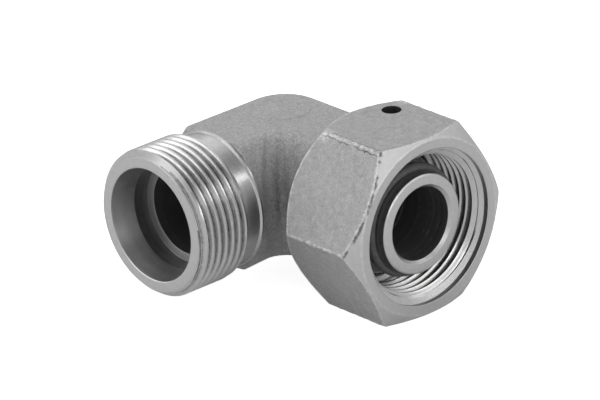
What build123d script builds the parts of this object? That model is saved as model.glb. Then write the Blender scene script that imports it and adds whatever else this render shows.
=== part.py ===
from build123d import *
from math import cos, radians, sin, sqrt, tan
import os

# Adjustable 90 degree elbow for 18 mm cutting-ring tube, with a swivel nut.
# The origin is where the two leg axes cross. The swivel leg points along +X,
# the male leg along -Y, and +Z is up. Lengths are in millimetres.
# "reach" values are distances from the origin along a leg's own axis.

# Tube and cone connection, shared by both legs
tube_od = 18.0
tube_clearance = 0.1          # socket bore over the tube
cone_half_angle = 12.0        # the 24 degree sealing cone
cone_mouth_dia = 20.3

# Connection thread, male on one leg and female in the nut
thread_dia = 26.0
thread_pitch = 1.5
nut_depth_ratio = 0.5413      # depth of the nut's thread per pitch

# Male leg
male_reach = 31.0
male_face_dia = 23.7
male_bore_dia = 15.0
tube_stop_reach = 23.5
tube_stop_fillet = 0.5
thread_end_reach = 20.9
relief_dia = 23.7
relief_start_reach = 16.7
rim_dia = 24.4
rim_reach = 16.3

# Swivel leg, from the tip back
nipple_reach = 33.6
nipple_tip_dia = 17.5
nipple_tip_chamfer = 0.25
nipple_bore_dia = 13.0
nipple_bore_chamfer = 0.5
nipple_collar_reach = 25.5
nipple_collar_chamfer = 0.8
nipple_thread_gap = 0.6       # radial, from the nipple's collar to the nut's thread
nipple_root_reach = 16.3

# Drilled flow bores
drill_point_angle = 118.0
bore_overrun = 3.0            # of the swivel leg's bore past the other leg's axis

# Sealing ring and its groove in the cone
ring_wire_dia = 2.0
ring_reach = 30.65
ring_outer_dia = 19.9
ring_groove_width = 2.5
ring_seat_gap = 0.02          # ring to groove floor

# Forged block
forging_height = 23.0
forging_width = 19.8          # at the parting plane, across a leg
forging_neck = 8.8            # from a leg's axis to the narrow place at the inner corner
forging_draft = 4.0
forging_edge_radius = 3.0
forging_outer_radius = 9.6
forging_inner_radius = 1.5
flare_angle = 45.0            # forged flare under a leg's collar, from the leg's axis
pad_dia = 10.0
pad_height = 0.2
pad_draft = 45.0
shoulder_angle = 60.0         # turned shoulder on the forging, from the leg's axis
shoulder_depth = 4.5

# Swivel nut
nut_across_flats = 31.8
nut_back_reach = 17.1
nut_length = 18.2
nut_face_dia = 31.0
nut_chamfer_angle = 35.0      # from the face
nut_mouth_dia = 27.6
nut_mouth_depth = 1.0
nut_lead_angle = 60.0         # half angle of the lead into the thread
nut_thread_end_reach = 25.4
nut_relief_dia = 26.6
nut_relief_angle = 60.0       # half angle of the cone behind the relief
nut_land_reach = 23.1         # front end of the bore that runs on the nipple
nut_running_gap = 0.15        # radial
nut_back_chamfer = 0.6

# Retaining wire in its shared groove
wire_dia = 2.0
wire_reach = 21.75
wire_groove_gap = 0.06        # radial, around the wire
wire_gap_angle = 24.0         # open part of the ring
wire_hook_angle = 78.0        # where the hooked end sits, from +Y towards +Z
wire_hook_length = 2.6
wire_bend_radius = 1.3
hook_hole_dia = 3.3           # blind hole in the nipple for the hooked end
wire_hole_dia = 3.4
wire_hole_offset = 4.9        # from the nut's middle, along Y

size_tolerance = 0.01         # for finding edges by their place

# Worked out from the values above
nut_minor_dia = thread_dia - 2 * nut_depth_ratio * thread_pitch
nipple_dia = nut_minor_dia - 2 * nipple_thread_gap
socket_dia = tube_od + tube_clearance
cone_slope = tan(radians(cone_half_angle))
socket_reach = male_reach - (cone_mouth_dia - socket_dia) / 2 / cone_slope
nut_front_reach = nut_back_reach + nut_length
nut_corner_radius = nut_across_flats / sqrt(3)
nut_bore_dia = nipple_dia + 2 * nut_running_gap
wire_ring_radius = nipple_dia / 2 + nut_running_gap / 2
groove_radius = wire_dia / 2 + wire_groove_gap
hook_angle = radians(wire_hook_angle)
hook_shift = hook_hole_dia / 2 - groove_radius
hook_seat = Location(
    Plane(
        origin=(
            wire_reach,
            nipple_dia / 2 * cos(hook_angle) - hook_shift * sin(hook_angle),
            nipple_dia / 2 * sin(hook_angle) + hook_shift * cos(hook_angle),
        ),
        x_dir=(1, 0, 0),
        z_dir=(0, cos(hook_angle), sin(hook_angle)),
    )
)
hook_depth = wire_hook_length + wire_groove_gap
ring_radius = (ring_outer_dia - ring_wire_dia) / 2
ring_groove_dia = ring_outer_dia - 2 * ring_wire_dia - 2 * ring_seat_gap

# Sketch planes of the legs: X runs out along the leg, Y is the radius
swivel_plane = Plane.XY
male_plane = Plane(origin=(0, 0, 0), x_dir=(0, -1, 0), z_dir=(0, 0, 1))


def turned(points, plane, axis, mode=Mode.ADD):
    """Revolve a closed outline of (reach, radius) points about a leg's axis."""
    with BuildSketch(plane) as outline:
        with BuildLine():
            Polyline(*points, close=True)
        make_face()
    revolve(outline.sketch, axis=axis, mode=mode)


def turn_shoulder(plane, axis, reach, radius):
    """Turn the forging's square end down to a cone that meets the leg at reach."""
    outer = radius + shoulder_depth * tan(radians(shoulder_angle))
    end = reach + forging_height
    turned(
        [(reach, 0), (reach, radius), (reach - shoulder_depth, outer), (end, outer), (end, 0)],
        plane,
        axis,
        Mode.SUBTRACT,
    )


def drill(plane, axis, start, end, diameter):
    """Drill a leg from its open end, with the drill's point left at the bottom."""
    point = diameter / 2 / tan(radians(drill_point_angle / 2))
    turned(
        [(start - point, 0), (start, diameter / 2), (end, diameter / 2), (end, 0)],
        plane,
        axis,
        Mode.SUBTRACT,
    )


def edges_at(builder, axis, place):
    """The circular edges that lie at one place along an axis."""
    circles = builder.edges().filter_by(GeomType.CIRCLE)
    return circles.filter_by_position(axis, place - size_tolerance, place + size_tolerance)


# Forged elbow with both turned legs
with BuildPart() as elbow_body:
    half_width = forging_width / 2
    leg_stock = rim_reach + forging_edge_radius + forging_height * tan(radians(forging_draft))
    flare_slope = tan(radians(flare_angle))
    core_radius = male_bore_dia / 2
    with BuildSketch(Plane.XY) as plan:
        with BuildLine():
            Polyline(
                (-half_width, -leg_stock),
                (half_width, -leg_stock),
                (forging_neck, -forging_neck),
                (leg_stock, -half_width),
                (leg_stock, half_width),
                (-half_width, half_width),
                close=True,
            )
        make_face()
        inner_corner = plan.vertices().sort_by_distance((forging_neck, -forging_neck))[0]
        fillet(inner_corner, forging_inner_radius)
        outer_corner = plan.vertices().sort_by_distance((-half_width, half_width))[0]
        fillet(outer_corner, forging_outer_radius)
    extrude(amount=forging_height / 2, taper=forging_draft)
    fillet(elbow_body.faces().sort_by(Axis.Z)[-1].edges(), forging_edge_radius)
    with BuildSketch(Plane.XY.offset(forging_height / 2)):
        Circle(pad_dia / 2)
    extrude(amount=pad_height, taper=pad_draft)
    mirror(about=Plane.XY)

    # Both ends are turned down to the legs
    turn_shoulder(male_plane, Axis.Y, rim_reach, rim_dia / 2)
    turn_shoulder(swivel_plane, Axis.X, nipple_root_reach, nipple_dia / 2)
    male_run_out = (thread_dia - relief_dia) / 2
    male_chamfer = (thread_dia - male_face_dia) / 2
    turned(
        [
            (0, 0),
            (0, core_radius),
            (rim_reach - (rim_dia / 2 - core_radius) / flare_slope, core_radius),
            (rim_reach, rim_dia / 2),
            (relief_start_reach, relief_dia / 2),
            (thread_end_reach - male_run_out, relief_dia / 2),
            (thread_end_reach, thread_dia / 2),
            (male_reach - male_chamfer, thread_dia / 2),
            (male_reach, male_face_dia / 2),
            (male_reach, 0),
        ],
        male_plane,
        Axis.Y,
    )
    collar_cone_radius = nipple_tip_dia / 2 + (nipple_reach - nipple_collar_reach) * cone_slope
    turned(
        [
            (0, 0),
            (0, core_radius),
            (nipple_root_reach - (nipple_dia / 2 - core_radius) / flare_slope, core_radius),
            (nipple_root_reach, nipple_dia / 2),
            (nipple_collar_reach - nipple_collar_chamfer, nipple_dia / 2),
            (nipple_collar_reach, nipple_dia / 2 - nipple_collar_chamfer),
            (nipple_collar_reach, collar_cone_radius),
            (nipple_reach - nipple_tip_chamfer, nipple_tip_dia / 2 + nipple_tip_chamfer * cone_slope),
            (nipple_reach, nipple_tip_dia / 2 - nipple_tip_chamfer),
            (nipple_reach, 0),
        ],
        swivel_plane,
        Axis.X,
    )

    # Grooves of the sealing ring and of the retaining wire, and the hole of its hook
    groove_floor = ring_groove_dia / 2
    groove_back = ring_reach - ring_groove_width / 2
    groove_front = ring_reach + ring_groove_width / 2
    turned(
        [
            (groove_back, groove_floor),
            (groove_back, nipple_dia / 2),
            (groove_front, nipple_dia / 2),
            (groove_front, groove_floor),
        ],
        swivel_plane,
        Axis.X,
        Mode.SUBTRACT,
    )
    with BuildSketch(swivel_plane):
        with Locations((wire_reach, wire_ring_radius)):
            Circle(groove_radius)
    revolve(axis=Axis.X, mode=Mode.SUBTRACT)
    with Locations(hook_seat):
        Cylinder(
            hook_hole_dia / 2,
            hook_depth,
            align=(Align.CENTER, Align.CENTER, Align.MAX),
            mode=Mode.SUBTRACT,
        )

    # Bores, tube socket and sealing cone
    drill(swivel_plane, Axis.X, -bore_overrun, nipple_reach, nipple_bore_dia)
    drill(male_plane, Axis.Y, 0, tube_stop_reach, male_bore_dia)
    turned(
        [
            (tube_stop_reach, 0),
            (tube_stop_reach, socket_dia / 2),
            (socket_reach, socket_dia / 2),
            (male_reach, cone_mouth_dia / 2),
            (male_reach, 0),
        ],
        male_plane,
        Axis.Y,
        Mode.SUBTRACT,
    )
    stop_edges = edges_at(elbow_body, Axis.Y, -tube_stop_reach)
    fillet(stop_edges.sort_by(SortBy.RADIUS)[-1], tube_stop_fillet)
    tip_edges = edges_at(elbow_body, Axis.X, nipple_reach)
    chamfer(tip_edges.sort_by(SortBy.RADIUS)[0], nipple_bore_chamfer)

# Swivel nut: hexagon, chamfered on both ends, bored, counterbored and drilled for the wire
with BuildPart() as swivel_nut:
    with BuildSketch(Plane.YZ.offset(nut_back_reach)):
        RegularPolygon(nut_across_flats / 2, 6, major_radius=False)
    extrude(amount=nut_length)
    chamfer_slope = tan(radians(nut_chamfer_angle))
    chamfer_run = (nut_corner_radius - nut_face_dia / 2) * chamfer_slope
    turned(
        [
            (nut_back_reach, 0),
            (nut_back_reach, nut_face_dia / 2),
            (nut_back_reach + chamfer_run, nut_corner_radius),
            (nut_front_reach - chamfer_run, nut_corner_radius),
            (nut_front_reach, nut_face_dia / 2),
            (nut_front_reach, 0),
        ],
        swivel_plane,
        Axis.X,
        Mode.INTERSECT,
    )
    mouth_floor = nut_front_reach - nut_mouth_depth
    lead_run = (nut_mouth_dia - nut_minor_dia) / 2 / tan(radians(nut_lead_angle))
    relief_run = (nut_relief_dia - nut_bore_dia) / 2 / tan(radians(nut_relief_angle))
    thread_run = (nut_relief_dia - nut_minor_dia) / 2
    turned(
        [
            (nut_back_reach, 0),
            (nut_back_reach, nut_bore_dia / 2 + nut_back_chamfer),
            (nut_back_reach + nut_back_chamfer, nut_bore_dia / 2),
            (nut_land_reach, nut_bore_dia / 2),
            (nut_land_reach + relief_run, nut_relief_dia / 2),
            (nut_thread_end_reach - thread_run, nut_relief_dia / 2),
            (nut_thread_end_reach, nut_minor_dia / 2),
            (mouth_floor - lead_run, nut_minor_dia / 2),
            (mouth_floor, nut_mouth_dia / 2),
            (nut_front_reach, nut_mouth_dia / 2),
            (nut_front_reach, 0),
        ],
        swivel_plane,
        Axis.X,
        Mode.SUBTRACT,
    )
    with BuildSketch(swivel_plane):
        with Locations((wire_reach, wire_ring_radius)):
            Circle(groove_radius)
    revolve(axis=Axis.X, mode=Mode.SUBTRACT)
    with BuildSketch(Plane.XY.offset(nut_across_flats / 2)):
        with Locations((wire_reach, wire_hole_offset)):
            Circle(wire_hole_dia / 2)
    extrude(amount=-nut_across_flats / 2, mode=Mode.SUBTRACT)

# Retaining wire: an open ring with one end bent inwards, swept in the groove's own plane
with BuildPart() as retaining_wire:
    with BuildLine(Plane.YZ.offset(wire_reach)) as wire_path:
        ring = CenterArc((0, 0), wire_ring_radius, wire_hook_angle, 360 - wire_gap_angle)
        hook = PolarLine(ring @ 0, wire_hook_length, wire_hook_angle + 180)
        fillet(wire_path.vertices().sort_by_distance(ring @ 0)[0], wire_bend_radius)
    with BuildSketch(Plane(origin=hook @ 1, z_dir=-(hook % 1))):
        Circle(wire_dia / 2)
    sweep()

# Sealing ring
with BuildPart() as o_ring:
    with BuildSketch(swivel_plane):
        with Locations((ring_reach, ring_radius)):
            Circle(ring_wire_dia / 2)
    revolve(axis=Axis.X)

os.makedirs("parts", exist_ok=True)

elbow_body.part.label = "elbow_body"
export_step(elbow_body.part, "parts/elbow_body.step")

swivel_nut.part.label = "swivel_nut"
export_step(swivel_nut.part, "parts/swivel_nut.step")

retaining_wire.part.label = "retaining_wire"
export_step(retaining_wire.part, "parts/retaining_wire.step")

o_ring.part.label = "o_ring"
export_step(o_ring.part, "parts/o_ring.step")
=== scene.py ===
import bpy, bmesh, math
from mathutils import Matrix, Vector, noise


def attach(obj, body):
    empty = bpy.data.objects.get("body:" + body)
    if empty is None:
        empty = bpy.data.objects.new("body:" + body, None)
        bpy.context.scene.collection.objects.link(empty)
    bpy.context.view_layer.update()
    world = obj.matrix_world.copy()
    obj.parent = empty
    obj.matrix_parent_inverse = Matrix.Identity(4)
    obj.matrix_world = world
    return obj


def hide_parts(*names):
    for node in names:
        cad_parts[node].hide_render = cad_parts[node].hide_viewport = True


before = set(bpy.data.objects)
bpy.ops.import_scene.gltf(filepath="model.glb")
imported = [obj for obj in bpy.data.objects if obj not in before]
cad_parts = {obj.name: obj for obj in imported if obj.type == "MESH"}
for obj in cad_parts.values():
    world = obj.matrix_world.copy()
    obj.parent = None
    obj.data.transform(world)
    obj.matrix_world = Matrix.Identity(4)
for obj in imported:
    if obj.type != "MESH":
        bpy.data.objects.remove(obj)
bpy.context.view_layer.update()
print("frame loaded")

mm = 0.001
swivelAxis = Vector((1, 0, 0))    # nut and nipple
maleAxis = Vector((0, -1, 0))     # male leg
turnSteps = 216                   # facets of every turned surface


# Mesh helpers, all lengths in mm until finishPiece. A profile is a list of (reach, radius).

def spot(axis, reach, radius):
    side = Vector((0, 1, 0)) if axis == swivelAxis else Vector((1, 0, 0))
    return axis * reach + side * radius


def turn(profile, axis, closed=False, steps=turnSteps, rise=0.0):
    bm = bmesh.new()
    verts = [bm.verts.new(spot(axis, reach, radius)) for reach, radius in profile]
    edges = [bm.edges.new(pair) for pair in zip(verts, verts[1:])]
    if closed:
        edges.append(bm.edges.new((verts[-1], verts[0])))
    bmesh.ops.spin(bm, geom=verts + edges, cent=(0, 0, 0), axis=axis, dvec=axis * rise / steps,
                   angle=math.tau, steps=steps, use_merge=rise == 0, use_duplicate=False)
    bmesh.ops.remove_doubles(bm, verts=bm.verts, dist=0.002)
    bmesh.ops.dissolve_degenerate(bm, edges=bm.edges, dist=0.0005)
    bmesh.ops.recalc_face_normals(bm, faces=bm.faces)
    return bm


def makeObject(bm, name):
    mesh = bpy.data.meshes.new(name)
    bm.to_mesh(mesh)
    bm.free()
    obj = bpy.data.objects.new(name, mesh)
    bpy.context.scene.collection.objects.link(obj)
    return obj


def carve(base, tool, operation):    # boolean of two meshes, gives a new one
    baseObj, toolObj = makeObject(base, "carveBase"), makeObject(tool, "carveTool")
    mod = baseObj.modifiers.new("carve", "BOOLEAN")
    mod.object, mod.operation, mod.solver = toolObj, operation, "EXACT"
    graph = bpy.context.evaluated_depsgraph_get()
    mesh = bpy.data.meshes.new_from_object(baseObj.evaluated_get(graph))
    bm = bmesh.new()
    bm.from_mesh(mesh)
    for obj in (baseObj, toolObj):
        old = obj.data
        bpy.data.objects.remove(obj)
        bpy.data.meshes.remove(old)
    bpy.data.meshes.remove(mesh)
    return bm


def addTo(bm, other):
    mesh = bpy.data.meshes.new("part")
    other.to_mesh(mesh)
    other.free()
    bm.from_mesh(mesh)
    bpy.data.meshes.remove(mesh)


def trim(bm, axis, reach, keepOutside):
    bmesh.ops.bisect_plane(bm, geom=bm.verts[:] + bm.edges[:] + bm.faces[:], dist=0.0001,
                           plane_co=axis * reach, plane_no=axis,
                           clear_inner=keepOutside, clear_outer=not keepOutside)


def roundOff(bm, geom, affect, offset, segments):
    bmesh.ops.bevel(bm, geom=geom, affect=affect, offset=offset, segments=segments, profile=0.5,
                    material=-1, clamp_overlap=False)


def slices(bm, faces, axis, places):    # cuts some faces across at each place
    parts = list({v for f in faces for v in f.verts}) + list({e for f in faces for e in f.edges}) + faces
    for place in places:
        parts = bmesh.ops.bisect_plane(bm, geom=parts, dist=0.0001, plane_co=place, plane_no=axis)["geom"]


def bridgeRings(bm, axis, first, second):
    edges = ringEdges(bm, axis, first) + ringEdges(bm, axis, second)
    bmesh.ops.bridge_loops(bm, edges=edges)


def ringEdges(bm, axis, reach):
    found = []
    for e in bm.edges:
        along = ((e.verts[0].co + e.verts[1].co) / 2).dot(axis)
        if e.is_boundary and abs(along - reach) < 0.004:
            found.append(e)
    return found


def finishPiece(bm, name, body, node, skins, zone, smoothAngle=28):
    order = list(skins)
    bmesh.ops.remove_doubles(bm, verts=bm.verts, dist=0.001)
    bmesh.ops.recalc_face_normals(bm, faces=bm.faces)
    for f in bm.faces:
        f.smooth = True
        f.material_index = order.index(zone(f))
    for e in bm.edges:
        e.smooth = e.is_manifold and e.calc_face_angle(0) < math.radians(smoothAngle)
    openEdges = sum(1 for e in bm.edges if not e.is_manifold)
    bmesh.ops.scale(bm, vec=(mm, mm, mm), verts=bm.verts)
    obj = makeObject(bm, name)
    for skin in order:
        obj.data.materials.append(skins[skin])
    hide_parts(node)
    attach(obj, body)
    weights = obj.modifiers.new("flatFacesFirst", "WEIGHTED_NORMAL")    # keeps wide flats even
    weights.keep_sharp = True
    weights.weight = 80
    print(name, len(obj.data.polygons), "faces", openEdges, "open edges")


# Material helpers, all lengths in metres

def newMaterial(name):
    mat = bpy.data.materials.new(name)
    mat.use_nodes = True
    tree = mat.node_tree
    tree.nodes.clear()
    out = tree.nodes.new("ShaderNodeOutputMaterial")
    shader = tree.nodes.new("ShaderNodeBsdfPrincipled")
    tree.links.new(shader.outputs[0], out.inputs[0])
    return mat, tree, shader


def calc(tree, operation, *values):
    n = tree.nodes.new("ShaderNodeMath")
    n.operation = operation
    for socket, value in zip(n.inputs, values):
        if isinstance(value, (int, float)):
            socket.default_value = value
        else:
            tree.links.new(value, socket)
    return n.outputs[0]


def highest(tree, first, *others):
    for other in others:
        first = calc(tree, "MAXIMUM", first, other)
    return first


def product(tree, first, *others):
    for other in others:
        first = calc(tree, "MULTIPLY", first, other)
    return first


def blendOf(tree, first, second, share):
    return calc(tree, "ADD", calc(tree, "MULTIPLY", first, 1 - share), calc(tree, "MULTIPLY", second, share))


def spread(tree, value, low, high):    # 0 at low, 1 at high, held there beyond
    n = tree.nodes.new("ShaderNodeMapRange")
    n.inputs["From Min"].default_value, n.inputs["From Max"].default_value = low, high
    tree.links.new(value, n.inputs["Value"])
    return n.outputs[0]


def band(tree, gap, width, middle=0.0):    # 1 along a line, 0 a width away from it
    return spread(tree, calc(tree, "ABSOLUTE", calc(tree, "SUBTRACT", gap, middle)), width, 0.0)


def objectXyz(tree):
    coord = tree.nodes.new("ShaderNodeTexCoord")
    split = tree.nodes.new("ShaderNodeSeparateXYZ")
    tree.links.new(coord.outputs["Object"], split.inputs[0])
    return coord.outputs["Object"], split.outputs


def aroundAxis(tree, xyz, axis):    # place along the leg and radius
    reach, side = (xyz[0], xyz[1]) if axis == swivelAxis else (xyz[1], xyz[0])
    square = calc(tree, "ADD", calc(tree, "MULTIPLY", side, side), calc(tree, "MULTIPLY", xyz[2], xyz[2]))
    return reach, calc(tree, "SQRT", square)


def noiseTex(tree, vector, scale, detail, rough, distortion=0.0, flat=False):
    n = tree.nodes.new("ShaderNodeTexNoise")
    n.noise_dimensions = "2D" if flat else "3D"
    n.inputs["Scale"].default_value = scale
    n.inputs["Detail"].default_value = detail
    n.inputs["Roughness"].default_value = rough
    n.inputs["Distortion"].default_value = distortion
    tree.links.new(vector, n.inputs["Vector"])
    return n.outputs["Fac"]


def flatNoise(tree, first, second, scale, rough):
    n = tree.nodes.new("ShaderNodeCombineXYZ")
    tree.links.new(first, n.inputs[0])
    tree.links.new(second, n.inputs[1])
    return noiseTex(tree, n.outputs[0], scale, 5.0, rough, flat=True)


def ramp(tree, value, stops):
    r = tree.nodes.new("ShaderNodeValToRGB")
    tree.links.new(value, r.inputs[0])
    while len(r.color_ramp.elements) < len(stops):
        r.color_ramp.elements.new(0.5)
    for element, (place, level) in zip(r.color_ramp.elements, stops):
        element.position = place
        element.color = (level, level, level, 1)
    return r.outputs[0]


def bump(tree, height, strength, distance, before=None):
    b = tree.nodes.new("ShaderNodeBump")
    b.inputs["Strength"].default_value = strength
    b.inputs["Distance"].default_value = distance
    tree.links.new(height, b.inputs["Height"])
    if before is not None:
        tree.links.new(before, b.inputs["Normal"])
    return b.outputs[0]


speckScale = 5200


def speckled(tree, place, tone, share):
    return blendOf(tree, tone, noiseTex(tree, place, speckScale, 2.0, 0.6), share)


def dress(tree, shader, metal, colour, dullness, normal):
    shader.inputs["Metallic"].default_value = metal
    tree.links.new(colour, shader.inputs["Base Color"])
    tree.links.new(dullness, shader.inputs["Roughness"])
    tree.links.new(normal, shader.inputs["Normal"])


# Burrs and bright wear along the nut's edges, and painted shadow lines beside them

# bright entries are wear; the groove and fold entries with their widths and reaches set painted shadow lines
# beside the corners and the front fold
wearAndShade = {"wobbleScale": 800, "wobble": 0.0007, "chipScale": 1500, "chips": (0.36, 0.58),
        "patchScale": 420, "patches": (0.34, 0.52), "arc": 0.0004, "corner": 0.00014, "side": 0.0002,
        "rim": 0.0003, "knocked": 0.0008, "knockedReach": (0.0222, 0.0215), "topHeight": (0.009, 0.011),
        "groove": 0.00005, "cornerShadeBeside": 0.00022, "cornerShadeReach": 0.001, "fold": 0.00038,
        "foldShadeBeside": 0.0003, "foldShadeReach": (0.025, 0.026), "lift": 0.42, "shadeAmount": 0.75}


def nutGaps(tree, xyz, radius, n):    # how far a point is from the nut's edges
    away = n["flats"] / 2 * mm
    run, backRun = [calc(tree, "MULTIPLY", calc(tree, "SUBTRACT", radius, n[start] * mm),
                         math.tan(math.radians(n[lean])))
                    for start, lean in (("faceRadius", "chamfer"), ("backRadius", "backChamfer"))]
    front = calc(tree, "SUBTRACT", calc(tree, "SUBTRACT", n["front"] * mm, run), xyz[0])
    back = calc(tree, "SUBTRACT", calc(tree, "SUBTRACT", xyz[0], backRun), n["back"] * mm)
    tilted = [calc(tree, "ADD", calc(tree, "MULTIPLY", xyz[1], side * math.sqrt(0.75)),
                   calc(tree, "MULTIPLY", xyz[2], 0.5)) for side in (1, -1)]
    widest = highest(tree, *[calc(tree, "ABSOLUTE", one) for one in (xyz[2], *tilted)])
    return {"arc": calc(tree, "MINIMUM", front, back),
            "side": calc(tree, "SUBTRACT", away, widest),
            "leftSide": calc(tree, "SUBTRACT", away, tilted[1]),
            "corner": calc(tree, "SUBTRACT", n["cornerRadius"] * mm, radius),
            "rim": calc(tree, "SUBTRACT", radius, n["faceRadius"] * mm)}


def wearAndShadeMarks(tree, place, xyz, radius, n, onFlats):
    w = wearAndShade
    wobble = calc(tree, "SUBTRACT", noiseTex(tree, place, w["wobbleScale"], 4.0, 0.7), 0.5)
    wobble = calc(tree, "MULTIPLY", wobble, w["wobble"])
    gaps = {name: calc(tree, "ADD", gap, wobble) for name, gap in nutGaps(tree, xyz, radius, n).items()}
    chips = spread(tree, noiseTex(tree, place, w["chipScale"], 4.0, 0.7), *w["chips"])
    patches = spread(tree, noiseTex(tree, place, w["patchScale"], 3.0, 0.6), *w["patches"])
    if onFlats:
        top = spread(tree, xyz[2], *w["topHeight"])
        knocked = product(tree, band(tree, gaps["corner"], w["knocked"]),
                          spread(tree, xyz[0], *w["knockedReach"]), top)
        bright = highest(tree, band(tree, gaps["arc"], w["arc"]), band(tree, gaps["corner"], w["corner"]),
                         knocked)
        # painted shadow: a dark band beside each corner on the upper flats
        shadeLines = product(tree, band(tree, gaps["corner"], w["groove"], w["cornerShadeBeside"]),
                       band(tree, gaps["leftSide"], w["cornerShadeReach"]), top)
    else:
        bright = highest(tree, band(tree, gaps["side"], w["side"]), band(tree, gaps["rim"], w["rim"]))
        # painted shadow: a dark band on the chamfer beside the left flat's front fold
        shadeLines = product(tree, band(tree, gaps["leftSide"], w["fold"], w["foldShadeBeside"]),
                       spread(tree, xyz[0], *w["foldShadeReach"]))
    return product(tree, bright, chips), product(tree, shadeLines, patches)


def wornAndShadedTone(tree, tone, marks):
    bright, shadeLines = marks
    lifted = calc(tree, "ADD", tone, calc(tree, "MULTIPLY", bright, wearAndShade["lift"]))
    # bright wear lifts the tone, the painted shadow lines lower it
    return calc(tree, "SUBTRACT", lifted, calc(tree, "MULTIPLY", shadeLines, wearAndShade["shadeAmount"]))


# Looks: level is the grey of the metal, set lower as painted shade in the bore, stop and hole looks; the rest
# is roughness and the size of its marks

turnedLook = {"level": 0.6, "rough": 0.24, "markScale": 2400, "markDepth": 0.000012, "grain": 0.00002,
              "grainScale": 4200, "mottleScale": 1100, "metal": 1.0, "speckle": 0.3, "ringTone": 0.2,
              "contrast": 1.0}
faceLook = {**turnedLook, "level": 0.61, "rough": 0.34, "markScale": 2600, "markDepth": 0.000016,
            "grain": 0.00004}
coneLook = {**turnedLook, "rough": 0.38, "markScale": 2600, "markDepth": 0.00002, "grain": 0.00006}
# painted shade: the bore look is the same turned steel at a far darker level
boreShadeLook = {**turnedLook, "level": 0.22, "rough": 0.36, "markScale": 1500, "markDepth": 0.00004,
            "metal": 0.75, "ringTone": 0.6, "contrast": 1.9}
wireLook = {**turnedLook, "level": 0.55, "rough": 0.3, "markScale": 2000, "markDepth": 0.00001}
# painted shade: the stop ring deep in the socket is the faced steel at half its level
stopShadeLook = {**faceLook, "level": 0.3}
# painted shade: the wire hole's wall, darker still than the bores
holeShadeLook = {**boreShadeLook, "level": 0.12}
nutFaceLook = {**faceLook, "grain": 0.00018, "speckle": 0.6}
# painted shade for the male thread: darker from crest to root past the relief, by the dullness amount
valleyShadeLook = {"crest": 0.0128, "root": 0.0122, "clear": -0.0199, "thread": -0.0201, "dullness": 0.42}
forgedLook = {"level": 0.52, "rough": 0.56, "grainScale": 4200, "grainDepth": 0.00036,
              "waveScale": 500, "waveDepth": 0.0003, "patchScale": 1500, "speckle": 0.6,
              "partingWidth": 0.00045, "partingWobble": 0.0003, "partingDepth": 0.0002,
              "scarScale": 900, "scars": (0.52, 0.72), "scarReach": (0.005, 0.001), "scarDepth": 0.0005}
flatLook = {"level": 0.5, "rough": 0.46, "grainScale": 4200, "grainDepth": 0.00028, "mottleScale": 900,
            "speckle": 0.55, "streakAcross": 1300, "streakAlong": 5.0, "streakShare": 0.2,
            "streakDepth": 0.00004}
rubberLook = {"level": 0.13, "rough": 0.55, "filmScale": 1500, "filmDepth": 0.00001}


def turnedSteel(name, axis, look, valleyShade=None, wearAndShadeNut=None):
    mat, tree, shader = newMaterial(name)
    place, xyz = objectXyz(tree)
    reach, radius = aroundAxis(tree, xyz, axis)
    lines = flatNoise(tree, reach, radius, look["markScale"], 0.6)
    tone = speckled(tree, place, noiseTex(tree, place, look["mottleScale"], 5.0, 0.65), look["speckle"])
    tone = blendOf(tree, tone, lines, look["ringTone"])
    contrast = look["contrast"]
    tone = calc(tree, "ADD", calc(tree, "MULTIPLY", tone, contrast), 0.5 - contrast / 2)
    if valleyShade:    # painted shade in the thread valleys, darker towards the root, past the relief
        depth = product(tree, spread(tree, radius, valleyShade["crest"], valleyShade["root"]),
                        spread(tree, reach, valleyShade["clear"], valleyShade["thread"]))
        tone = calc(tree, "SUBTRACT", tone, calc(tree, "MULTIPLY", depth, valleyShade["dullness"]))
    if wearAndShadeNut:
        tone = wornAndShadedTone(tree, tone, wearAndShadeMarks(tree, place, xyz, radius, wearAndShadeNut, onFlats=False))
    level, rough = look["level"], look["rough"]
    colour = ramp(tree, tone, [(0.0, level * 0.3), (0.3, level * 0.9), (0.7, level * 1.08), (1.0, 0.8)])
    dullness = ramp(tree, lines, [(0.25, rough * 0.85), (0.75, rough * 1.25)])
    marks = bump(tree, lines, 0.5, look["markDepth"])
    grain = noiseTex(tree, place, look["grainScale"], 3.0, 0.6)
    dress(tree, shader, look["metal"], colour, dullness, bump(tree, grain, 0.6, look["grain"], marks))
    return mat


def forgedSteel(name, look):
    mat, tree, shader = newMaterial(name)
    place, xyz = objectXyz(tree)
    grain = noiseTex(tree, place, look["grainScale"], 3.0, 0.75)
    wave = noiseTex(tree, place, look["waveScale"], 4.0, 0.55)
    patches = noiseTex(tree, place, look["patchScale"], 6.0, 0.75)
    level, rough = look["level"], look["rough"]
    tone = speckled(tree, place, patches, look["speckle"])
    colour = ramp(tree, tone, [(0.3, level * 0.52), (0.7, level * 1.5)])
    dullness = ramp(tree, grain, [(0.3, rough * 0.85), (0.7, rough * 1.2)])
    drop = calc(tree, "ABSOLUTE", xyz[2])    # height from the parting plane
    ragged = calc(tree, "ADD", drop, calc(tree, "MULTIPLY", patches, look["partingWobble"]))
    lumps = noiseTex(tree, place, look["scarScale"], 3.0, 0.6, distortion=1.5)
    scars = product(tree, spread(tree, lumps, *look["scars"]), spread(tree, drop, *look["scarReach"]))
    normal = bump(tree, wave, 0.6, look["waveDepth"])
    normal = bump(tree, spread(tree, ragged, look["partingWidth"], 0.0), 1.0, look["partingDepth"], normal)
    normal = bump(tree, scars, 1.0, look["scarDepth"], normal)
    dress(tree, shader, 1.0, colour, dullness, bump(tree, grain, 0.7, look["grainDepth"], normal))
    return mat


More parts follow.
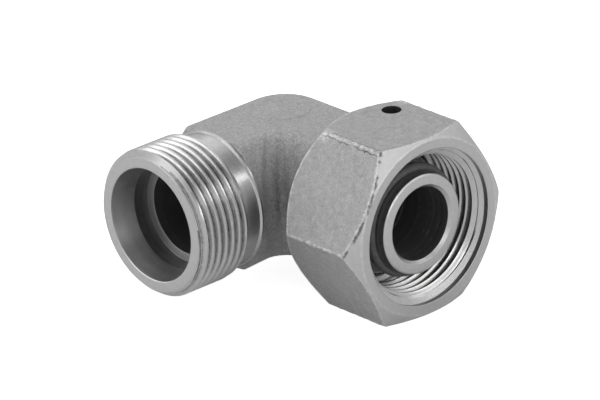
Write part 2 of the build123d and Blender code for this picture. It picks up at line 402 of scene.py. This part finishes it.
def pressedFlat(name, look, wearAndShadeNut):
    mat, tree, shader = newMaterial(name)
    place, xyz = objectXyz(tree)
    reach, radius = aroundAxis(tree, xyz, swivelAxis)
    angle = calc(tree, "ARCTAN2", xyz[2], xyz[1])
    streaks = flatNoise(tree, calc(tree, "MULTIPLY", reach, look["streakAcross"]),
                        calc(tree, "MULTIPLY", angle, look["streakAlong"]), 1.0, 0.65)
    grain = noiseTex(tree, place, look["grainScale"], 3.0, 0.75)
    mottle = noiseTex(tree, place, look["mottleScale"], 6.0, 0.75)
    mottle = blendOf(tree, mottle, streaks, look["streakShare"])
    tone = wornAndShadedTone(tree, speckled(tree, place, mottle, look["speckle"]),
                    wearAndShadeMarks(tree, place, xyz, radius, wearAndShadeNut, onFlats=True))
    level, rough = look["level"], look["rough"]
    colour = ramp(tree, tone, [(0.0, 0.02), (0.3, level * 0.6), (0.68, level * 1.36), (0.85, 0.85)])
    dullness = ramp(tree, mottle, [(0.35, rough * 1.15), (0.65, rough * 0.85)])
    marks = bump(tree, streaks, 0.5, look["streakDepth"])
    dress(tree, shader, 1.0, colour, dullness, bump(tree, grain, 0.6, look["grainDepth"], marks))
    return mat


def rubber(name, look):
    mat, tree, shader = newMaterial(name)
    film = noiseTex(tree, objectXyz(tree)[0], look["filmScale"], 4.0, 0.6)
    level, rough = look["level"], look["rough"]
    colour = ramp(tree, film, [(0.3, level * 0.8), (0.7, level * 1.3)])
    dullness = ramp(tree, film, [(0.3, rough), (0.7, rough * 1.3)])
    dress(tree, shader, 0.0, colour, dullness, bump(tree, film, 0.3, look["filmDepth"]))
    return mat


# Threads, screwed one pitch per turn, then held inside their chamfers

thread = {"pitch": 1.5, "crest": 13.0, "root": 12.07, "crestHalf": 0.15, "rootHalf": 0.07, "ease": 0.05,
          "turns": 10}
nutThread = {"pitch": 1.5, "crest": 12.19, "root": 13.04, "crestHalf": 0.16, "rootHalf": 0.09, "ease": 0.02,
             "turns": 10}


def tooth(t):
    c, r, e, p = t["crestHalf"], t["rootHalf"], t["ease"], t["pitch"]
    crest, root = t["crest"], t["root"]
    drop = math.copysign(e * 1.2, root - crest)    # easing towards the other side of the tooth
    mid = (crest + root) / 2
    flank = (p / 2 - c - r) / 2
    return [(-c - e, crest + drop), (-c, crest), (c, crest), (c + e, crest + drop), (c + flank, mid),
            (p / 2 - r - e, root - drop), (p / 2 - r, root), (p / 2 + r, root), (p / 2 + r + e, root - drop),
            (p - c - flank, mid)]


def screw(axis, start, t):
    shape, pitch = tooth(t), t["pitch"]
    profile = [(start + k * pitch + along, radius) for k in range(t["turns"]) for along, radius in shape]
    profile.append((start + t["turns"] * pitch + shape[0][0], shape[0][1]))
    return turn(profile, axis, rise=pitch)


def holdRadius(bm, axis, limit, inside):    # inside: keeps a bore at least that wide
    for v in bm.verts:
        reach = v.co.dot(axis)
        off = v.co - axis * reach
        wanted = limit(reach)
        if (off.length > wanted) != inside:
            v.co = axis * reach + off * (wanted / off.length)


# Elbow: the forging, then its turned legs

forging = {"height": 23.0, "width": 19.8, "neck": 8.8, "fold": 3.0, "foldLean": 56, "sideSteps": 10,
           "edge": 0.7, "outer": 9.6, "inner": 1.5, "stock": 21.0, "shoulderAngle": 60, "shoulderDepth": 4.5,
           "fluteEvery": 3.2, "fluteDepth": 0.16, "fluteReach": 7.5, "fluteStep": 0.3,
           "pad": 5.0, "padHeight": 0.2, "padRoot": 0.5}
male = {"rimReach": 16.3, "rimRadius": 12.2, "rimWidth": 0.3, "relief": 11.85, "join": 18.5, "stub": 19.5,
        "threadStart": 19.0, "runOut": 19.75, "reach": 31.0, "faceRadius": 11.85, "mouth": 10.15,
        "coneTop": 10.02, "socketReach": 26.5, "socket": 9.09, "stop": 23.5, "stopEdge": 0.16, "bore": 7.5,
        "boreDepth": 22, "phase": 21.5}
nipple = {"root": 16.3, "radius": 11.59, "collar": 25.5, "collarEdge": 0.8, "reach": 33.6, "tip": 8.75,
          "coneAngle": 12, "bore": 6.5, "boreStart": -3.0, "boreChamfer": 0.5,
          "ring": 30.65, "grooveRadius": 7.93, "grooveHalf": 1.25, "grooveEdge": 0.08}
wireGroove = {"reach": 21.75, "ring": 11.66, "radius": 1.06, "steps": 6, "hookAngle": 78, "hookRing": 11.6,
              "hookSide": 0.59, "hookHole": 1.65, "hookDepth": 5.4}
drillAngle = 59    # half of a drill's point


def forgedBlock(f):
    half, neck, stock = f["width"] / 2, f["neck"], f["stock"]
    bm = bmesh.new()
    plan = [(-half, -stock), (half, -stock), (neck, -neck), (stock, -half), (stock, half), (-half, half)]
    verts = [bm.verts.new((x, y, 0)) for x, y in plan]
    bm.faces.new(verts)
    roundOff(bm, [verts[2]], "VERTICES", f["inner"], 8)
    corner = min(bm.verts, key=lambda v: (v.co - Vector((-half, half, 0))).length)
    roundOff(bm, [corner], "VERTICES", f["outer"], 32)
    bmesh.ops.recalc_face_normals(bm, faces=bm.faces)
    if bm.faces[:][0].normal.z < 0:
        bmesh.ops.reverse_faces(bm, faces=bm.faces[:])
    top = bm.faces[:][0]
    # barrelled sides up to the fold, then a small fold radius
    steps, height, lean = f["sideSteps"], f["height"] / 2, math.radians(f["foldLean"])
    bulge = f["fold"] / (1 - math.cos(lean))
    for i in range(steps):
        low, high = lean * i / steps, lean * (i + 1) / steps
        bmesh.ops.inset_region(bm, faces=[top], thickness=bulge * (math.cos(low) - math.cos(high)),
                               depth=height * (math.sin(high) - math.sin(low)) / math.sin(lean),
                               use_boundary=True, use_even_offset=True)
    roundOff(bm, top.edges[:], "EDGES", f["edge"], 5)
    bmesh.ops.mirror(bm, geom=bm.verts[:] + bm.edges[:] + bm.faces[:], matrix=Matrix.Identity(4),
                     merge_dist=0.001, axis="Z")
    fluteFlanks(bm, f)
    bmesh.ops.recalc_face_normals(bm, faces=bm.faces)
    print("block", len(bm.faces))
    return bm


def fluteFlanks(bm, f):    # upright die grooves round the inner corner
    middles = {s: s.calc_center_median() for s in bm.faces}
    flank = [s for s, mid in middles.items() if mid.x > 3 and mid.y < -3 and abs(s.normal.z) < 0.95]
    cuts = int(f["fluteReach"] / f["fluteStep"])
    slices(bm, flank, (1, 1, 0), [(i * f["fluteStep"], 0, 0) for i in range(-cuts, cuts + 1)])
    for v in bm.verts:
        along = v.co.x + v.co.y    # 0 in the inner corner, negative on the male side
        near = max(0.0, 1 - abs(along) / f["fluteReach"]) * max(0.0, 1 - (abs(v.co.z) / f["height"] * 2) ** 4)
        if near > 0 and v.co.x > 4 and v.co.y < -4:
            wave = -math.cos(math.tau * along / f["fluteEvery"] + noise.noise(v.co * 0.15) * 1.2)
            side = Vector((1, 0, 0)).lerp(Vector((0, -1, 0)), min(1, max(0, 0.5 + along / 3))).normalized()
            v.co += side * f["fluteDepth"] * wave * min(1, near * 2.2) * (0.6 + 0.4 * (v.co.z > -4))


def roundPad(f, side):
    r, h, z = f["pad"], f["padHeight"], f["height"] / 2
    bm = bmesh.new()
    bmesh.ops.create_circle(bm, cap_ends=True, radius=r, segments=96,
                            matrix=Matrix.Translation((0, 0, side * (z - f["padRoot"]))))
    up = bmesh.ops.extrude_face_region(bm, geom=bm.faces[:])
    lid = [g for g in up["geom"] if isinstance(g, bmesh.types.BMFace)]
    bmesh.ops.translate(bm, vec=(0, 0, side * f["padRoot"]), verts=lid[0].verts[:])
    bmesh.ops.inset_region(bm, faces=lid, thickness=h * 1.3, depth=0)
    inner = [face for face in bm.faces if abs(face.calc_center_median().z - side * z) < 1e-4
             and face.calc_center_median().xy.length < 0.5]
    bmesh.ops.translate(bm, vec=(0, 0, side * h), verts=inner[0].verts[:])
    bmesh.ops.recalc_face_normals(bm, faces=bm.faces)
    return bm


def shoulderCutter(axis, reach, radius, f):
    depth = f["shoulderDepth"]
    outer = radius + depth * math.tan(math.radians(f["shoulderAngle"]))
    past = reach + 12
    profile = [(reach, 0), (reach, radius), (reach - depth, outer), (past, outer), (past, 0)]
    return turn(profile, axis, closed=True)


def reliefArc(groove):    # half of the round groove shared by nipple and nut
    reach, ring, radius, steps = groove["reach"], groove["ring"], groove["radius"], groove["steps"]
    turns = [math.pi * i / steps for i in range(steps + 1)]
    return [(reach - radius * math.cos(a), ring - radius * math.sin(a)) for a in turns]


def maleStub(m):    # rim and relief, up to where the thread begins
    rimEnd, rimStart = m["rimReach"] + m["rimWidth"], m["rimReach"] - (m["rimRadius"] - m["bore"])
    profile = [(0, 0), (0, m["bore"]), (rimStart, m["bore"]), (m["rimReach"] - 0.1, m["rimRadius"] - 0.1),
               (m["rimReach"], m["rimRadius"]), (rimEnd, m["rimRadius"]), (rimEnd + 0.25, m["relief"] + 0.03),
               (rimEnd + 0.32, m["relief"]), (m["stub"], m["relief"]), (m["stub"], 0)]
    return turn(profile, maleAxis, closed=True)


def nippleLeg(n, core):
    slope, edge = math.tan(math.radians(n["coneAngle"])), n["grooveEdge"]
    coneAt = lambda reach: n["tip"] + (n["reach"] - reach) * slope
    back, front, collar = n["ring"] - n["grooveHalf"], n["ring"] + n["grooveHalf"], n["collar"]
    profile = [(0, 0), (0, core), (n["root"] - (n["radius"] - core), core), (n["root"], n["radius"])]
    profile += [(x, min(r, n["radius"])) for x, r in reliefArc(wireGroove)]
    profile += [(collar - n["collarEdge"], n["radius"]), (collar, n["radius"] - n["collarEdge"]),
                (collar, coneAt(collar) + 0.1), (collar + 0.1, coneAt(collar + 0.1)),
                (back - edge, coneAt(back)), (back, coneAt(back) - edge), (back, n["grooveRadius"]),
                (front, n["grooveRadius"]), (front, coneAt(front) - edge), (front + edge, coneAt(front)),
                (n["reach"] - 0.25, coneAt(n["reach"] - 0.25)), (n["reach"] - 0.06, n["tip"] - 0.12),
                (n["reach"], n["tip"] - 0.28), (n["reach"], 0)]
    return turn(profile, swivelAxis, closed=True)


def maleDrill(m):
    point = m["bore"] / math.tan(math.radians(drillAngle))
    return turn([(-point, 0), (0, m["bore"]), (m["boreDepth"], m["bore"]), (m["boreDepth"], 0)], maleAxis,
                closed=True)


def nippleDrill(n):
    point = n["bore"] / math.tan(math.radians(drillAngle))
    start, chamfer, end = n["boreStart"], n["boreChamfer"], n["reach"]
    return turn([(start - point, 0), (start, n["bore"]), (end - chamfer, n["bore"]),
                 (end + chamfer, n["bore"] + 2 * chamfer), (end + chamfer, 0)], swivelAxis, closed=True)


def hookDrill(g):    # blind hole that the wire's hooked end goes into
    hook = math.radians(g["hookAngle"])
    bm = bmesh.new()
    bmesh.ops.create_cone(bm, cap_ends=True, segments=32, radius1=g["hookHole"], radius2=g["hookHole"],
                          depth=g["hookDepth"])
    place = Matrix.Translation((g["reach"], g["hookRing"] * math.cos(hook) - g["hookSide"] * math.sin(hook),
                                g["hookRing"] * math.sin(hook) + g["hookSide"] * math.cos(hook)))
    bmesh.ops.transform(bm, matrix=place @ Matrix.Rotation(hook - math.pi / 2, 4, "X"), verts=bm.verts)
    return bm


def elbowCore(f, m, n):
    bm = forgedBlock(f)
    bm = carve(bm, shoulderCutter(maleAxis, m["rimReach"] - 0.12, m["rimRadius"], f), "DIFFERENCE")
    bm = carve(bm, shoulderCutter(swivelAxis, n["root"], n["radius"], f), "DIFFERENCE")
    for side in (1, -1):
        bm = carve(bm, roundPad(f, side), "UNION")
    bm = carve(bm, maleStub(m), "UNION")
    bm = carve(bm, nippleLeg(n, m["bore"]), "UNION")
    bm = carve(bm, maleDrill(m), "DIFFERENCE")
    bm = carve(bm, nippleDrill(n), "DIFFERENCE")
    bm = carve(bm, hookDrill(wireGroove), "DIFFERENCE")
    trim(bm, maleAxis, m["join"], False)
    return bm


def maleEnd(m, t):
    end, face, join, edge = m["reach"], m["faceRadius"], m["join"], m["stopEdge"]
    limit = lambda reach: min(face + (end - reach), m["relief"] + max(0.0, reach - m["runOut"]))
    bm = screw(maleAxis, m["phase"] - 3.5 * t["pitch"], t)
    holdRadius(bm, maleAxis, limit, False)
    trim(bm, maleAxis, m["threadStart"], True)
    trim(bm, maleAxis, end - 0.12, False)
    print("male thread", len(bm.faces))
    addTo(bm, turn([(join, m["relief"]), (join + 0.4, m["relief"])], maleAxis))
    bridgeRings(bm, maleAxis, join + 0.4, m["threadStart"])
    inside = [(end - 0.1, face + 0.09), (end - 0.02, face + 0.01), (end, face - 0.06),
              (end, m["mouth"] + 0.08), (end - 0.02, m["mouth"] + 0.02), (end - 0.1, m["coneTop"]),
              (m["socketReach"] + 0.03, m["socket"] + 0.01), (m["socketReach"] - 0.03, m["socket"]),
              (m["stop"] + edge, m["socket"]), (m["stop"] + 0.05, m["socket"] - 0.05),
              (m["stop"], m["socket"] - edge), (m["stop"], m["bore"] + edge),
              (m["stop"] - 0.05, m["bore"] + 0.05), (m["stop"] - edge, m["bore"]), (join, m["bore"])]
    addTo(bm, turn(inside, maleAxis))
    bridgeRings(bm, maleAxis, end - 0.12, end - 0.1)
    return bm


def elbowZone(f):    # which skin a face wears, the bores first, then each leg, then the shoulders
    c, n = f.calc_center_median(), f.normal
    maleReach, swivelReach = -c.y, c.x
    maleRadius, swivelRadius = math.hypot(c.x, c.z), math.hypot(c.y, c.z)
    if maleRadius < male["bore"] + 0.05 and n.x * c.x + n.z * c.z < 0.01 and maleReach < male["stop"] - 0.05:
        return "maleBored"
    inNipple = swivelRadius < nipple["bore"] + 0.05 and n.y * c.y + n.z * c.z < 0.01
    if inNipple and swivelReach < nipple["reach"] - nipple["boreChamfer"]:
        return "nippleBored"
    # the socket wall wears the darker bore steel, painted shade
    if maleRadius < male["socket"] + 0.02 and male["stop"] + 0.06 < maleReach < male["socketReach"]:
        return "maleBored"
    if maleReach > male["rimReach"] - 0.13 and abs(c.x) < 14:
        return maleEndZone(n.dot(maleAxis), maleReach, maleRadius)
    if swivelReach > nipple["root"] - 0.05 and abs(c.y) < 12:
        return nippleZone(n.x, swivelReach)
    tilt = math.sin(math.radians(forging["shoulderAngle"]))
    onShoulder = swivelReach > 12 and abs(abs(n.x) - tilt) < 0.02
    onMaleShoulder = maleReach > 12 and abs(abs(n.y) - tilt) < 0.02
    return "nippleTurned" if onShoulder and not onMaleShoulder else "forged"


def maleEndZone(facing, reach, radius):
    flat = abs(facing) > 0.1 and reach > 23 and radius < male["faceRadius"] + 0.1
    if flat and reach < male["reach"] - 0.12 and radius < male["mouth"]:
        return "maleStopped" if reach < male["stop"] + 0.06 else "maleConed"
    chamfer = reach > male["reach"] - 1.2 and 0.6 < facing < 0.8
    return "maleFaced" if flat or chamfer else "maleTurned"


def nippleZone(facing, reach):
    grooveBack, grooveFront = nipple["ring"] - nipple["grooveHalf"], nipple["ring"] + nipple["grooveHalf"]
    # the cone in front of the groove wears the darker bore steel, painted shade inside the nut
    if facing < 0.3 and reach > grooveFront:
        return "nippleBored"
    behindRing = nipple["collar"] < reach < grooveBack - 0.05
    return "nippleFaced" if facing > 0.3 and reach > 33 or behindRing else "nippleTurned"


elbowSkins = {"forged": forgedSteel("forgedSkinSteel", forgedLook),
              "maleTurned": turnedSteel("maleTurnedSteel", maleAxis, turnedLook, valleyShade=valleyShadeLook),
              "maleFaced": turnedSteel("maleFacedSteel", maleAxis, faceLook),
              "maleBored": turnedSteel("maleBoreSteel", maleAxis, boreShadeLook),
              "nippleTurned": turnedSteel("nippleTurnedSteel", swivelAxis, turnedLook),
              "nippleFaced": turnedSteel("nippleFacedSteel", swivelAxis, faceLook),
              "nippleBored": turnedSteel("nippleBoreSteel", swivelAxis, boreShadeLook),
              "maleConed": turnedSteel("maleConeSteel", maleAxis, coneLook),
              "maleStopped": turnedSteel("maleStopShadedSteel", maleAxis, stopShadeLook)}
print("elbow materials made")
elbowMesh = elbowCore(forging, male, nipple)
addTo(elbowMesh, maleEnd(male, thread))
finishPiece(elbowMesh, "forgedElbow", "elbow", "elbow_body", elbowSkins, elbowZone)


# Swivel nut

nut = {"flats": 31.8, "back": 17.1, "front": 35.3, "faceRadius": 15.5, "chamfer": 35, "backRadius": 15.7,
       "backChamfer": 48, "mouth": 13.8, "mouthFloor": 34.3, "leadAngle": 60, "land": 11.74,
       "landReach": 23.1, "relief": 13.3, "threadJoin": 24.2, "threadEnd": 25.4, "phase": 34.4,
       "hole": 1.7, "holeX": 21.75, "holeY": 4.9, "lipRise": 0.18, "edgeBevel": 0.24,
       "cornerRadius": 18.3, "cornerStep": 0.3, "cornerWear": 0.16, "coneWear": 0.07, "coneCuts": 14}


def onFlat(face):
    angle = math.degrees(math.atan2(face.normal.z, face.normal.y)) % 60
    return abs(face.normal.x) < 0.05 and abs(angle - 30) < 0.5


def uneven(place, scale):
    return noise.noise(place * scale) * 0.6 + noise.noise(place * scale * 3.1) * 0.4


def push(v, amount):
    v.co += Vector((0, v.co.y, v.co.z)).normalized() * amount


def hexBar(n):
    bm = bmesh.new()
    corner, length = n["flats"] / math.sqrt(3), n["front"] - n["back"]
    stand = Matrix.Translation((n["back"] - 1, 0, 0)) @ Matrix.Rotation(math.pi / 2, 4, "Y")
    bmesh.ops.create_circle(bm, cap_ends=True, radius=corner, segments=6, matrix=stand)
    low = min(v.co.z for v in bm.verts)
    if abs(low + corner) < 0.01:    # a corner is down, so turn a flat there
        bmesh.ops.rotate(bm, cent=(0, 0, 0), matrix=Matrix.Rotation(math.pi / 6, 3, "X"), verts=bm.verts)
    up = bmesh.ops.extrude_face_region(bm, geom=bm.faces[:])
    bmesh.ops.translate(bm, vec=(length + 2, 0, 0),
                        verts=[g for g in up["geom"] if isinstance(g, bmesh.types.BMVert)])
    longEdges = [e for e in bm.edges if abs((e.verts[0].co - e.verts[1].co).x) > 5]
    roundOff(bm, longEdges, "EDGES", n["edgeBevel"], 2)
    corners = [f for f in bm.faces if abs(f.normal.x) < 0.1 and not onFlat(f)]
    slices(bm, corners, (1, 0, 0), [(n["back"] + n["cornerStep"] * i, 0, 0)
                                    for i in range(int(length / n["cornerStep"]) + 1)])
    crest = max(v.co.yz.length for v in bm.verts)
    for v in bm.verts:
        if v.co.yz.length > crest - 0.02:
            push(v, uneven(v.co, 1.1) * n["cornerWear"])
    bmesh.ops.recalc_face_normals(bm, faces=bm.faces)
    return bm


def chamferedBound(n):    # both end chamfers, a little uneven as worn ones are
    reachOut = 19.5
    run = (reachOut - n["faceRadius"]) * math.tan(math.radians(n["chamfer"]))
    backRun = (reachOut - n["backRadius"]) * math.tan(math.radians(n["backChamfer"]))
    bm = turn([(n["back"], 0), (n["back"], n["backRadius"]), (n["back"] + backRun, reachOut),
               (n["front"] - run, reachOut), (n["front"], n["faceRadius"]), (n["front"], 0)], swivelAxis,
              closed=True, steps=turnSteps * 2)
    # the edges of both cones, without the longer ones between them
    slants = [e for e in bm.edges if abs((e.verts[0].co - e.verts[1].co).x) > 1 and e.calc_length() < 6.5]
    bmesh.ops.subdivide_edges(bm, edges=slants, cuts=n["coneCuts"], use_grid_fill=True)
    for v in bm.verts:
        if n["backRadius"] + 0.1 < v.co.yz.length < reachOut - 0.1:
            push(v, uneven(v.co, 0.8) * n["coneWear"])
    return bm


def nutBore(n):
    back, front, join = n["back"], n["front"], n["threadJoin"]
    profile = [(back - 1, 0), (back - 1, n["land"] + 1.6), (back + 0.6, n["land"])]
    profile += [(x, max(2 * wireGroove["ring"] - r, n["land"])) for x, r in reliefArc(wireGroove)]
    profile += [(n["landReach"], n["land"]), (n["landReach"] + 0.9, n["relief"]), (join, n["relief"]),
                (join, n["mouth"]), (n["mouthFloor"], n["mouth"]), (front - 0.08, n["mouth"]),
                (front + 0.5, n["mouth"] + 0.58), (front + 0.5, 0)]
    return turn(profile, swivelAxis, closed=True)


def upright(n, bottom, top, depth, height):    # round cutter on the assembly hole's axis
    bm = bmesh.new()
    bmesh.ops.create_cone(bm, cap_ends=True, segments=48, radius1=bottom, radius2=top, depth=depth,
                          matrix=Matrix.Translation((n["holeX"], n["holeY"], height)))
    return bm


def nutBody(n):
    bm = carve(hexBar(n), chamferedBound(n), "INTERSECT")
    bm = carve(bm, nutBore(n), "DIFFERENCE")
    bm = carve(bm, upright(n, n["hole"], n["hole"], 8, 15), "DIFFERENCE")
    lip = upright(n, n["hole"] - 0.4, n["hole"] + 0.6, 1.0, n["flats"] / 2 + n["lipRise"])
    bm = carve(bm, lip, "DIFFERENCE")
    print("hexagon faces", len(bm.faces))
    # the plain bore makes room for the thread
    gone = [f for f in bm.faces if n["threadJoin"] - 0.01 < f.calc_center_median().x < n["mouthFloor"] - 0.01
            and f.calc_center_median().yz.length < n["mouth"] + 0.02]
    bmesh.ops.delete(bm, geom=gone, context="FACES")
    return bm


def nutInside(n, t):
    slope, floor, join = math.tan(math.radians(n["leadAngle"])), n["mouthFloor"], n["threadJoin"]
    limit = lambda reach: max(n["mouth"] - (floor - reach) * slope,
                              n["relief"] - max(0.0, reach - (n["threadEnd"] - 1.11)))
    bm = screw(swivelAxis, n["phase"] - 9 * t["pitch"], t)
    holdRadius(bm, swivelAxis, limit, True)
    trim(bm, swivelAxis, join + 0.05, True)
    trim(bm, swivelAxis, floor - 0.35, False)
    print("nut thread", len(bm.faces))
    addTo(bm, turn([(floor - 0.3, n["mouth"] - 0.3 * slope), (floor - 0.04, n["mouth"] - 0.07),
                    (floor, n["mouth"])], swivelAxis))
    bridgeRings(bm, swivelAxis, floor - 0.35, floor - 0.3)
    addTo(bm, turn([(join, n["relief"]), (join + 0.02, n["relief"])], swivelAxis))
    bridgeRings(bm, swivelAxis, join + 0.02, join + 0.05)
    return bm


def nutZone(f):
    c, n = f.calc_center_median(), f.normal
    fromHole = math.hypot(c.x - nut["holeX"], c.y - nut["holeY"])
    # the hole's wall wears the painted-shade hole steel
    if c.z > 10 and abs(n.z) < 0.3 and fromHole < nut["hole"] + 0.05:
        return "drilled"
    if abs(n.x) < 0.3 and c.yz.length > 14.5:
        return "flats"
    return "faced" if abs(n.x) > 0.5 and c.yz.length > nut["mouth"] - 0.05 else "turned"


nutSkins = {"turned": turnedSteel("nutTurnedSteel", swivelAxis, turnedLook),
            "flats": pressedFlat("nutFlatSteel", flatLook, nut),
            "faced": turnedSteel("nutFacedSteel", swivelAxis, nutFaceLook, wearAndShadeNut=nut),
            "drilled": turnedSteel("nutHoleShadedSteel", swivelAxis, holeShadeLook)}
print("nut materials made")
nutMesh = nutBody(nut)
addTo(nutMesh, nutInside(nut, nutThread))
finishPiece(nutMesh, "hexSwivelNut", "nut", "swivel_nut", nutSkins, nutZone)


# Retaining wire and sealing ring

seal = {"radius": 1.0, "ring": 8.95, "reach": 30.65, "steps": 36}

springWire = turnedSteel("springWireSteel", swivelAxis, wireLook)
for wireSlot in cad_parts["retaining_wire"].material_slots:
    wireSlot.material = springWire

sealAngles = [math.tau * i / seal["steps"] for i in range(seal["steps"])]
sealMesh = turn([(seal["reach"] + seal["radius"] * math.cos(a), seal["ring"] + seal["radius"] * math.sin(a))
                 for a in sealAngles], swivelAxis, closed=True)
finishPiece(sealMesh, "sealingRing", "elbow", "o_ring",
            {"rubber": rubber("sealRubber", rubberLook)}, lambda f: "rubber")
print("pieces made")


# Floor, light and camera

cameraFit = {"azimuth": 47.792, "elevation": 23.6517, "roll": -2.2274, "distance": 1034.945,
             "focus": 6055.843, "right": -2.497, "up": 5.026, "frameWidth": 600}
floorLook = {"z": -15.95, "size": 4.0, "level": 0.85, "cameraLift": 0.84, "glossLift": 0.07}
worldLook = {"level": 0.35, "tent": [(0.0, 0.8), (0.35, 0.78), (0.6, 0.5), (0.85, 0.35)]}
lamps = {"topBox": {"place": (-0.25, -0.1, 0.9), "size": (1.0, 1.0), "power": 2.4},
         "rightBox": {"place": (0.72, 0.33, 0.53), "size": (1.1, 0.3), "power": 1.5},
         "leftBox": {"place": (-0.2, -0.68, 0.74), "size": (0.6, 0.4), "power": 0.7},
         "lowLeftBox": {"place": (-0.5, -0.78, 0.34), "size": (0.9, 0.3), "power": 1.5},
         "backBox": {"place": (-0.42, 0.62, 0.62), "size": (0.9, 0.5), "power": 0.8},
         "frontBox": {"place": (0.93, -0.3, 0.42), "size": (0.4, 0.3), "power": 1.0}}


def cameraAxes(c):
    a, e, r = (math.radians(c[k]) for k in ("azimuth", "elevation", "roll"))
    back = Vector((math.sin(a) * math.cos(e), -math.cos(a) * math.cos(e), math.sin(e)))
    right = Vector((math.cos(a), math.sin(a), 0))
    up = back.cross(right)
    return math.cos(r) * right + math.sin(r) * up, -math.sin(r) * right + math.cos(r) * up, back


def addCamera(c):
    right, up, back = cameraAxes(c)
    data = bpy.data.cameras.new("photoCamera")
    data.sensor_width = 36
    data.lens = c["focus"] * data.sensor_width / c["frameWidth"]
    data.clip_start, data.clip_end = 0.05, 20
    obj = bpy.data.objects.new("photoCamera", data)
    place = (back * c["distance"] - right * c["right"] - up * c["up"]) * mm
    obj.matrix_world = Matrix.Translation(place) @ Matrix((right, up, back)).transposed().to_4x4()
    bpy.context.scene.collection.objects.link(obj)
    bpy.context.scene.camera = obj


def clearRays(tree):    # light paths, and 1 where the backdrop shows itself as white
    path = tree.nodes.new("ShaderNodeLightPath").outputs
    return path, calc(tree, "MAXIMUM", path["Is Camera Ray"], path["Is Transmission Ray"])


def addFloor(look):
    bm = bmesh.new()
    bmesh.ops.create_grid(bm, x_segments=1, y_segments=1, size=look["size"] / 2)
    bmesh.ops.translate(bm, vec=(0, 0, look["z"] * mm), verts=bm.verts)
    floor = makeObject(bm, "floorSweep")
    mat, tree, shader = newMaterial("floorPaper")
    shader.inputs["Base Color"].default_value = (look["level"], look["level"], look["level"], 1)
    shader.inputs["Roughness"].default_value = 0.9
    shader.inputs["Specular IOR Level"].default_value = 0.1
    path, clear = clearRays(tree)
    glow = tree.nodes.new("ShaderNodeEmission")
    lift = calc(tree, "MAXIMUM", calc(tree, "MULTIPLY", clear, look["cameraLift"]),
                calc(tree, "MULTIPLY", path["Is Glossy Ray"], look["glossLift"]))
    tree.links.new(lift, glow.inputs["Strength"])
    both = tree.nodes.new("ShaderNodeAddShader")
    tree.links.new(shader.outputs[0], both.inputs[0])
    tree.links.new(glow.outputs[0], both.inputs[1])
    out = [n for n in tree.nodes if n.type == "OUTPUT_MATERIAL"][0]
    tree.links.new(both.outputs[0], out.inputs[0])
    floor.data.materials.append(mat)


def addWorld(look):
    world = bpy.data.worlds.new("studioWorld")
    bpy.context.scene.world = world
    world.use_nodes = True
    tree = world.node_tree
    tree.nodes.clear()
    out = tree.nodes.new("ShaderNodeOutputWorld")
    back = tree.nodes.new("ShaderNodeBackground")
    path, clear = clearRays(tree)
    coord = tree.nodes.new("ShaderNodeTexCoord")
    split = tree.nodes.new("ShaderNodeSeparateXYZ")
    tree.links.new(coord.outputs["Generated"], split.inputs[0])
    gloss = calc(tree, "MULTIPLY", path["Is Glossy Ray"], ramp(tree, split.outputs[2], look["tent"]))
    tree.links.new(highest(tree, clear, gloss, look["level"]), back.inputs["Strength"])
    tree.links.new(back.outputs[0], out.inputs[0])


def addLamp(name, lamp):    # a softbox that points at the origin
    data = bpy.data.lights.new(name, "AREA")
    data.shape = "RECTANGLE"
    data.size, data.size_y = lamp["size"]
    data.energy = lamp["power"]
    obj = bpy.data.objects.new(name, data)
    obj.location = lamp["place"]
    obj.rotation_euler = Vector(lamp["place"]).to_track_quat("Z", "Y").to_euler()
    bpy.context.scene.collection.objects.link(obj)


addCamera(cameraFit)
addFloor(floorLook)
addWorld(worldLook)
for name, lamp in lamps.items():
    addLamp(name, lamp)
print("studio made")

bpy.context.scene.view_settings.view_transform = "Standard"
bpy.context.view_layer.update()
